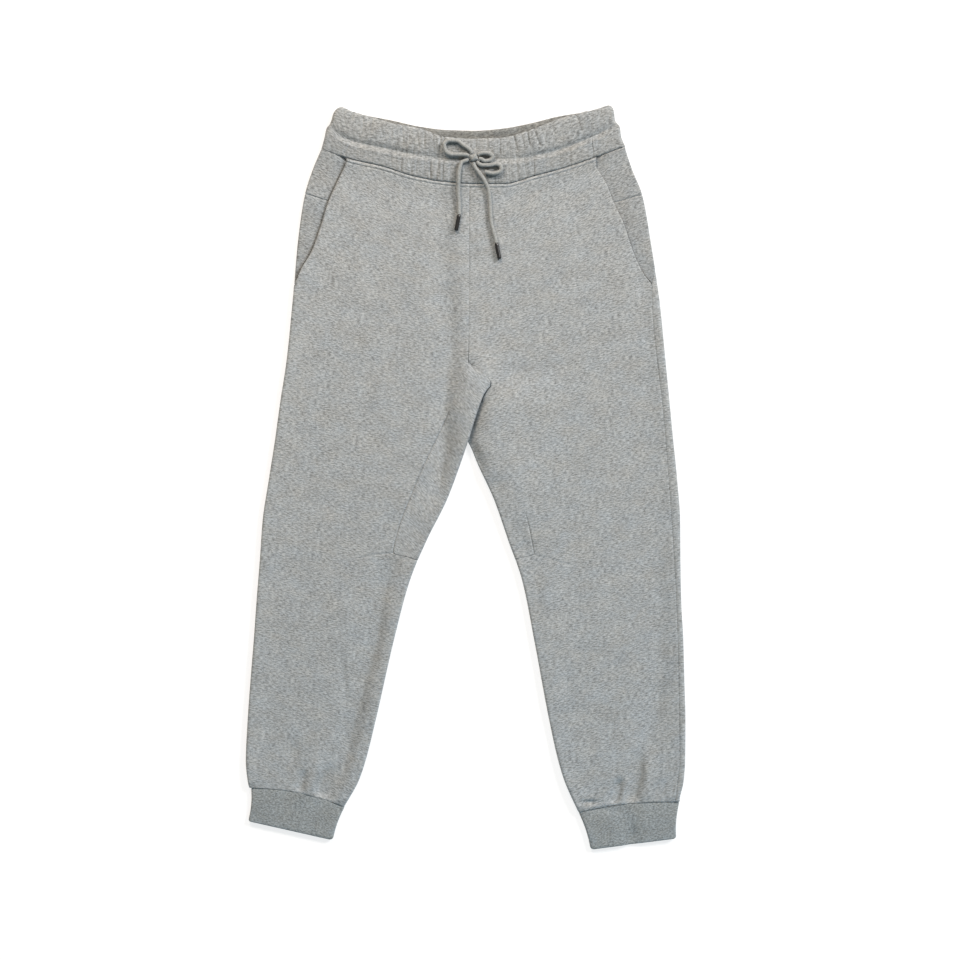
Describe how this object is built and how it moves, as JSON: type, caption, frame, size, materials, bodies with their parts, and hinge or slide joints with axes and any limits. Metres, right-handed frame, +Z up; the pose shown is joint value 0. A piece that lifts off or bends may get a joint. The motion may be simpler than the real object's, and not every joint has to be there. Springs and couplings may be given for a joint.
{
  "type": "jogger sweatpants",
  "caption": "Grey heather fleece jogger sweatpants laid flat, with a gathered drawcord waistband, slanted side pockets, inner thigh panels and ribbed cuffs.",
  "frame": {"origin": "centre of the outline on the surface that the garment lies on", "axes": "+Y towards the waistband, +X towards the wearer's left leg, +Z up from the surface"},
  "size_m": [0.6139, 1.0399, 0.0198],
  "materials": {
    "fleece": "brushed heather knit",
    "rib": "fine heather rib",
    "cord": "round braid",
    "cord_tip": "black sleeve"
  },
  "bodies": {
    "root": {"front_right": "fleece", "front_left": "fleece", "back_right": "fleece", "back_left": "fleece", "inner_thigh_right": "fleece", "inner_thigh_left": "fleece", "side_yoke_right": "fleece", "side_yoke_left": "fleece", "pocket_facing_right": "fleece", "pocket_facing_left": "fleece", "waistband_front": "fleece", "waistband_back": "fleece", "cuff_right": "rib", "cuff_left": "rib", "cord_knot": "cord", "cord_loop_a": "cord", "cord_loop_b": "cord", "cord_loop_c": "cord", "cord_end_right": "cord", "cord_end_left": "cord", "cord_tip_right": "cord_tip", "cord_tip_left": "cord_tip"}
  },
  "joints": []
}
